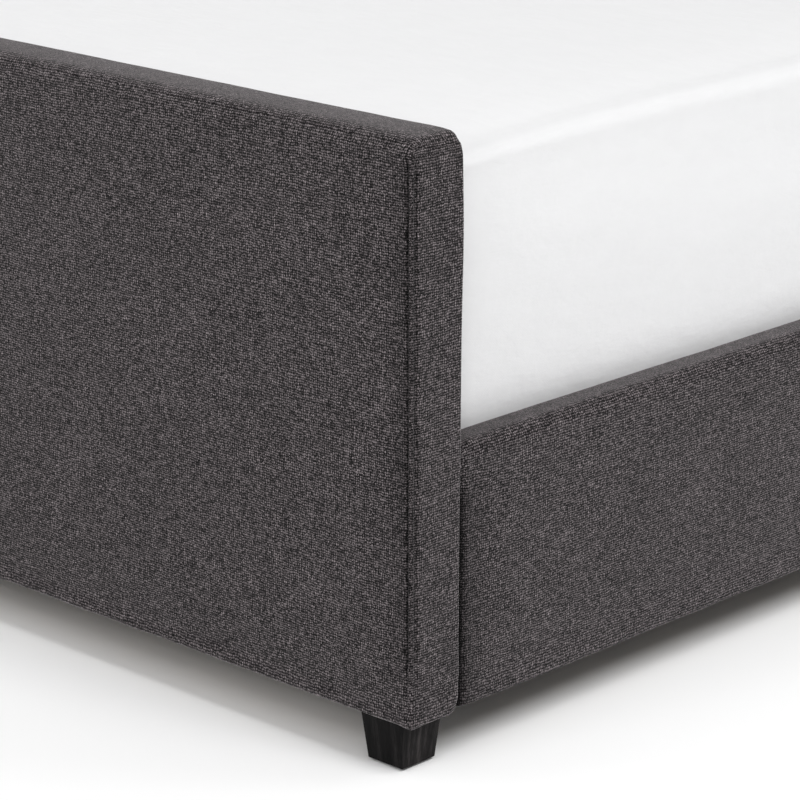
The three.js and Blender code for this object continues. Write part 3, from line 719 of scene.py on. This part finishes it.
# ---------------------------------------------------------------- side rails
def make_rail(side, sx, seed):
    lo, hi = (np.array(v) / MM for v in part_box("side_rail_cover_" + side))
    mid = (lo + hi) / 2
    X = ticks(lo[0], hi[0], (1.9, 17.1), (1.9, 17.1), 4.0)
    Y = ticks(lo[1], hi[1], (2.0, 24.0), (2.0, 24.0), 12.0)
    Z = ticks(lo[2], hi[2], (3.0, 21.0), (1.9, 24.7), 9.0)
    hole = lambda x, y: (np.abs(x - mid[0]) < 23 - TURN) & (y > lo[1] + TURN) & (y < hi[1] - TURN)
    lat = Lattice(X, Y, Z, hole)

    def surface(P):
        x, y, z = P.T
        top = hi[2]
        plan = 15.0 - 2.0 * step(z, top - 50, top - 17)
        out, n = rounded(P, lo, hi, np.minimum(plan, ROLL), plan, ROLL, 3.0)
        face = np.isclose(np.abs(x - mid[0]), 23)
        end_d = np.minimum(y - lo[1], hi[1] - y)
        inset = np.minimum(end_d, np.minimum(top - z, z - lo[2]))
        relief = np.where(face, 1.3 * step(inset, 6, 70), 0)
        relief += 0.5 * waves(P, 130, seed, 2) * step(inset + 20, 0, 60) + 0.3 * waves(P * [1, 0.8, 1], 36, seed + 1, 2)
        # pull lines where the cloth is folded in at the ends
        relief += 0.8 * waves(np.column_stack([x * 0, (y - lo[1]) * 0.35 + z * 0.8, z]), 22, seed + 2, 1) * bell(end_d, 0, 28) * step(z, lo[2], top)
        out = out + n * relief[:, None]
        # the padded top of each end presses against the board; below it the end stands clear
        press = step(z, top - 58, top - 26) * step(14 - end_d, 0, 14)
        sign = np.where(y < mid[1], -1.0, 1.0)
        out[:, 1] += sign * press * 2.7
        out[:, 1] -= sign * (1 - step(z, top - 58, top - 26)) * step(14 - end_d, 0, 14) * 0.6
        # crushed roll just there
        out[:, 2] -= 1.6 * bell(end_d, 0, 20) * step(z, top - 40, top)
        out[:, 2] += 1.4 * step(z, top - 60, top)
        hem = step(lo[2] + 30 - z, 0, 30)
        out[:, 2] += hem * (1.6 * waves(np.column_stack([0 * x, y, 0 * x]), 75, seed + 3, 2) - 4.4)
        out[:, 0] += np.sign(mid[0]) * np.where(x * np.sign(mid[0]) > mid[0] * np.sign(mid[0]), 1, -1) * hem * 0.8 * waves(np.column_stack([0 * x, y, 0 * x]), 48, seed + 4, 2)
        out[:, 2] += 0.5 * waves(np.column_stack([0 * x, y, 0 * x]), 260, seed + 5, 1) * step(z, top - 60, top)
        return out

    outer = surface(lat.P)
    rough = Lattice(ticks(lo[0], hi[0], (11.5, 11.5), (11.5, 11.5), 11.5), ticks(lo[1], hi[1], (18, 36), (18, 36), 34.0),
                    ticks(lo[2], hi[2], (18, 36), (17, 34), 26.0))
    r0 = surface(rough.P)
    at_edge = (np.isclose(np.abs(rough.P[:, 0] - mid[0]), 23).astype(int) + np.isclose(rough.P[:, 1], lo[1]) + np.isclose(rough.P[:, 1], hi[1])
               + np.isclose(rough.P[:, 2], lo[2]))
    pins = np.where((at_edge >= 2) | np.isclose(rough.P[:, 2], lo[2]), 1.0, 0.0)
    move = lat.smooth(lat.carry(rough, swell(rough, r0, 1.2, 1.5, pins=pins)), 4)
    move[:, 2] = 0
    end_d = np.minimum(lat.P[:, 1] - lo[1], hi[1] - lat.P[:, 1])
    outer = outer + move * np.maximum(step(end_d, 4, 40), 0.1)[:, None]
    t = SKIN
    k = (hi - lo - [2 * t, 2 * t, t + 2.4]) / (hi - lo)
    P2 = lo + [t, t, 2.4] + (lat.P - lo) * k
    inner, _ = rounded(P2, lo + [t, t, 2.4], hi - t, 5.0, 5.0, ROLL - t, 1.2)
    hem = step(lo[2] + 30 - lat.P[:, 2], 0, 30)
    inner[:, 2] += hem * (outer[:, 2] - lat.P[:, 2]).clip(-6, 2) * 0.6

    def uv_of(P, s):
        x, y, z = P.T
        out_side = 1 if sx > 0 else 0
        V = lay(z, lo[2], hi[2], 3.0, ROLL)
        edge = hi[2] - ROLL + ROLL * math.pi / 4
        across = lay(x, lo[0], hi[0], 14.0, 14.0) - (lo[0] + 14.0 - 14.0 * math.pi / 4)
        wide = hi[0] - lo[0] - 28.0 + 28.0 * math.pi / 4
        V = np.where(s == 5, edge + (wide - across if sx > 0 else across), V)
        V = np.where(s == 1 - out_side, 2 * edge + wide - V, V)
        U = lay(y, lo[1], hi[1], 14.0, 14.0) + 9000 + 2000 * sx
        U = np.where((s == 2) | (s == 3), across + 14000, U)
        V = np.where(s == 4, z - (hi[0] - x), V)
        return np.column_stack([U, V]) * MM

    end_d = np.minimum(lat.P[:, 1] - lo[1], hi[1] - lat.P[:, 1])
    # painted shade at each rail end, in the gap beside the head- or footboard, below the padded top
    painted_shading = (0.52 * bell(end_d, 0, 24) + 0.4 * bell(end_d, 0, 5)) * (1 - step(lat.P[:, 2], hi[2] - 62, hi[2] - 30))
    piece = shell("side_rail_upholstery_" + side, lat, outer, inner, uv_of, WEAVE, painted_shading)
    return piece


rails = {"left": make_rail("left", -1, 41), "right": make_rail("right", +1, 57)}


# ------------------------------------------------------------------- mattress
def make_mattress():
    lo, hi = (np.array(v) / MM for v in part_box("mattress"))
    c, half = (lo + hi) / 2, (hi - lo) / 2
    a, b = half[0], half[1]
    corner, roll = 66.0, 24.0

    def surface(P):
        p = P - c
        x, y, z = p.T
        d = np.minimum(a - np.abs(x), b - np.abs(y))              # way in from the edge, in plan
        d = np.where(np.abs(z) > half[2] - 1e-6, d, 0.0)
        # roll of the top and bottom edges, in (in, up)
        q0 = np.maximum(d, roll)
        qz = np.clip(z, -half[2] + roll, half[2] - roll)
        e0, ez = q0 - d, z - qz
        e0, ez = np.where(d < roll, e0, 0.0), ez
        m = np.maximum(np.hypot(e0, ez), 1e-9)
        d2 = q0 - e0 / m * roll
        z2 = qz + ez / m * roll
        far = (d >= roll)
        d2 = np.where(far, d, d2)
        z2 = np.where(far, z, z2)
        sx = (a - d2) / np.maximum(a - d, 1e-6)
        sy = (b - d2) / np.maximum(b - d, 1e-6)
        x1, y1 = x * sx, y * sy
        r = np.maximum(corner - d2, 1e-3)
        cx, cy = np.clip(x1, -(a - d2 - r), a - d2 - r), np.clip(y1, -(b - d2 - r), b - d2 - r)
        ex, ey = x1 - cx, y1 - cy
        m2 = np.maximum(np.hypot(ex, ey), 1e-9)
        in_corner = (np.abs(ex) > 1e-9) & (np.abs(ey) > 1e-9)
        x2 = np.where(in_corner, cx + ex / m2 * r, x1)
        y2 = np.where(in_corner, cy + ey / m2 * r, y1)
        out = np.column_stack([x2, y2, z2])
        # outward direction
        nx, ny = np.where(in_corner, ex / m2, np.where(a - np.abs(x1) < b - np.abs(y1), np.sign(x1), 0)), \
            np.where(in_corner, ey / m2, np.where(a - np.abs(x1) < b - np.abs(y1), 0, np.sign(y1)))
        flat = np.where(far, 0.0, e0 / m)
        up = np.where(far, np.sign(z), ez / m)
        n = np.column_stack([nx * flat, ny * flat, up])
        n /= np.maximum(np.linalg.norm(n, axis=1, keepdims=True), 1e-9)
        return out, n, d, z

    lat = Lattice(ticks(lo[0], hi[0], (5, 70), (5, 70), 20.0), ticks(lo[1], hi[1], (5, 70), (5, 70), 22.0),
                  ticks(lo[2], hi[2], (4, 28), (3, 27), 11.0))
    out, n, d, z = surface(lat.P)
    rough = Lattice(ticks(lo[0], hi[0], (30, 60), (30, 60), 42.0), ticks(lo[1], hi[1], (30, 60), (30, 60), 42.0),
                    ticks(lo[2], hi[2], (30, 30), (30, 30), 36.0))
    r0, _, _, _ = surface(rough.P)
    pins = np.where(rough.P[:, 2] <= lo[2] + 1, 1.0, 0.0)
    move = lat.smooth(lat.carry(rough, swell(rough, r0, 3.0, 3.5, pins=pins, stiff=10.0)), 5)
    side = step(-np.abs(z), -half[2], -half[2] + 40)
    move[:, :2] *= 0.75
    out = out + move
    # crown of the top, and the give of its edge towards the corners
    x, y = (lat.P[:, 0] - c[0]) / a, (lat.P[:, 1] - c[1]) / b
    topness = step(z, half[2] - 45, half[2])
    out[:, 2] += topness * (7.0 * (1 - x ** 4) * (1 - y ** 4))
    near_corner = np.exp(-(((1 - np.abs(x)) * a) ** 2 + ((1 - np.abs(y)) * b) ** 2) / 170.0 ** 2)
    out[:, 2] -= topness * 13.0 * near_corner
    # sides: a soft belly, shallow dents and upright puckers
    belly = np.cos(np.clip(z / half[2], -1, 1) * math.pi / 2)
    relief = (1 - topness) * belly * 0.8
    relief += 1.4 * waves(lat.P * [0.8, 0.8, 1.0], 150, 71, 3) + 0.6 * waves(lat.P * [1, 1, 0.6], 46, 73, 2)
    relief += 0.9 * topness * waves(lat.P, 240, 75, 2)
    # firm edge under the roll
    relief += 0.5 * bell(z, half[2] - 13, 9) - 0.5 * bell(z, half[2] - 36, 10)
    keep = step(lat.P[:, 2], lo[2], lo[2] + 25)
    out = out + n * (relief * keep)[:, None]
    out = out + c

    def uv_of(P, s):
        x, y, z = P.T * MM
        U = np.where(s < 2, y, x)
        V = np.where(s >= 4, y + 7.0 * (s - 3), z)
        U = U + 4.0 * s
        return np.column_stack([U, V])

    uv = uv_of(lat.P[lat.quads.ravel()], np.repeat(lat.sides, 4)).reshape(-1, 4, 2)
    ob = make_object("mattress_ticking", out, lat.quads, KNIT, uv)
    # painted shade along the top edge, up to 9% darker to tone down its highlight, and painted light low down near rail
    # height, up to 11% lighter against the shade of the rails
    painted_shade_and_light = 0.09 * bell(d, 12, 11) * bell(half[2] - z, 0, 14) - 0.11 * bell(lat.P[:, 2], 345, 45)
    ob.data.attributes.new("painted_shading", "FLOAT", "POINT").data.foreach_set("value", painted_shade_and_light.astype(np.float32))
    return ob


mattress = make_mattress()

for piece, body, node, slot, fill in (
    (footboard, "frame", "footboard_cover", "charcoal_weave", 0.95),
    (headboard, "frame", "headboard_cover", "charcoal_weave", 0.95),
    (rails["left"], "frame", "side_rail_cover_left", "charcoal_weave", 0.95),
    (rails["right"], "frame", "side_rail_cover_right", "charcoal_weave", 0.95),
    (mattress, "mattress", "mattress", "white_ticking", 0.85),
):
    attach(piece, body)
    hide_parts(node)


# --------------------------------------------------- eased edges on hard parts
def eased(node, name, width, material, segments=2, angle=35):
    """The CAD shape of a node with its edges eased, as sanding or pressing leaves them."""
    me = frame["nodes"][node].data.copy()
    me.name = name
    bm = bmesh.new()
    bm.from_mesh(me)
    bmesh.ops.remove_doubles(bm, verts=bm.verts, dist=1e-5)
    bmesh.ops.dissolve_limit(bm, angle_limit=math.radians(1.5), verts=bm.verts, edges=bm.edges)
    sharp = [e for e in bm.edges if len(e.link_faces) == 2 and e.calc_face_angle(0) > math.radians(angle)]
    bmesh.ops.bevel(bm, geom=sharp, offset=width * MM, segments=segments, profile=0.6, affect="EDGES", clamp_overlap=True)
    bmesh.ops.triangulate(bm, faces=[f for f in bm.faces if len(f.verts) > 4])
    bmesh.ops.recalc_face_normals(bm, faces=bm.faces)
    bm.to_mesh(me)
    bm.free()
    me.materials.clear()
    me.materials.append(material)
    ob = bpy.data.objects.new(name, me)
    scene.collection.objects.link(ob)
    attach(ob, frame["nodes"][node]["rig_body"])
    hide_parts(node)
    return ob


for end in ("front", "rear"):
    for side in ("left", "right"):
        eased(f"corner_leg_{end}_{side}", f"leg_block_{end}_{side}", 0.8, STAIN_Z)
        eased(f"rail_bracket_{end}_{side}", f"angle_bracket_{end}_{side}", 0.7, BLACK_STEEL)
    eased(f"beam_hanger_{end}", f"beam_stirrup_{end}", 0.5, BLACK_STEEL)
for n in (1, 2):
    eased(f"centre_leg_{n}", f"centre_leg_block_{n}", 1.5, STAIN_Z)
for side in ("left", "right"):
    eased(f"slat_ledger_{side}", f"ledger_strip_{side}", 1.5, TIMBER_Y)
eased("centre_beam", "centre_beam_bar", 2.5, TIMBER_Y)
for i in range(1, 13):
    eased(f"slat_{i:02d}", f"slat_board_{i:02d}", 3.0, SLAT_X, segments=3)

for name, ob in frame["nodes"].items():
    if ob.hide_render:
        continue
    if name.endswith("_core"):
        mat = TIMBER_X
    elif name.startswith("side_rail_board"):
        mat = TIMBER_Y
    elif "padding" in name:
        mat = FOAM
    elif "bolt" in name or "stem" in name:
        mat = ZINC
    elif "glide" in name or "pad" in name:
        mat = NYLON
    else:
        raise RuntimeError("no material chosen for " + name)
    for s in ob.material_slots:
        s.material = mat


# --------------------------------------------------------- floor and the light
def floor():
    me = bpy.data.meshes.new("floor")
    r = 60.0
    me.from_pydata([(-r, -r, 0), (r, -r, 0), (r, r, 0), (-r, r, 0)], [], [(0, 1, 2, 3)])
    m = Net("floor_white", Roughness=0.95)
    m.shader.inputs["Specular IOR Level"].default_value = 0.0
    m.shader.inputs["Base Color"].default_value = (0.96, 0.96, 0.96, 1)
    me.materials.append(m.mat)
    ob = bpy.data.objects.new("floor", me)
    scene.collection.objects.link(ob)
    ob.location.z = -0.0004


floor()


AIM = Vector((0.75, -0.95, 0.1))


def place_light(name, kind, bearing, height):
    """A light 7 m from the corner of the bed, aimed at it. bearing 0 is from the foot, 90 from the right."""
    data = bpy.data.lights.new(name, kind)
    ob = bpy.data.objects.new(name, data)
    scene.collection.objects.link(ob)
    a, e = math.radians(bearing), math.radians(height)
    ob.location = AIM + 7.0 * Vector((math.sin(a) * math.cos(e), -math.cos(a) * math.cos(e), math.sin(e)))
    ob.rotation_euler = (AIM - ob.location).to_track_quat("-Z", "Y").to_euler()
    return data


# soft boxes
for name, bearing, height, size, power in (
    ("foot_low", 0, 22, (2.6, 1.8), 56),
    ("foot_mid", 0, 38, (3.0, 2.2), 74),
    ("right_mid", 90, 46, (2.0, 1.4), 86),
    ("right_rear", 135, 40, (2.4, 1.8), 54),
    ("left_foot", -45, 35, (3.0, 2.4), 32),
    ("left_high", -90, 50, (3.0, 2.4), 42),
):
    lamp = place_light(name, "AREA", bearing, height)
    lamp.shape = "RECTANGLE"
    lamp.size, lamp.size_y = size
    lamp.energy = power
# wide even light over the whole floor
for name, bearing, height, spread, power in (
    ("right_high", 90, 64, 24, 0.975),
    ("corner_high", 45, 50, 26, 0.40),
    ("rear_high", 180, 50, 40, 0.30),
):
    lamp = place_light(name, "SUN", bearing, height)
    lamp.angle = math.radians(spread)
    lamp.energy = power

# a pale studio round it, brighter towards the horizon
world = bpy.data.worlds.new("studio")
scene.world = world
world.use_nodes = True
nodes, links = world.node_tree.nodes, world.node_tree.links
sky = nodes["Background"]
sky.inputs["Color"].default_value = (1.0, 1.0, 1.0, 1)
way = nodes.new("ShaderNodeSeparateXYZ")
links.new(nodes.new("ShaderNodeTexCoord").outputs["Generated"], way.inputs[0])
glow = nodes.new("ShaderNodeMapRange")
glow.interpolation_type = "SMOOTHSTEP"
for socket, value in zip(glow.inputs[1:5], (0.02, 0.30, 0.75, 0.30)):
    socket.default_value = value
links.new(way.outputs["Z"], glow.inputs[0])
links.new(glow.outputs[0], sky.inputs["Strength"])
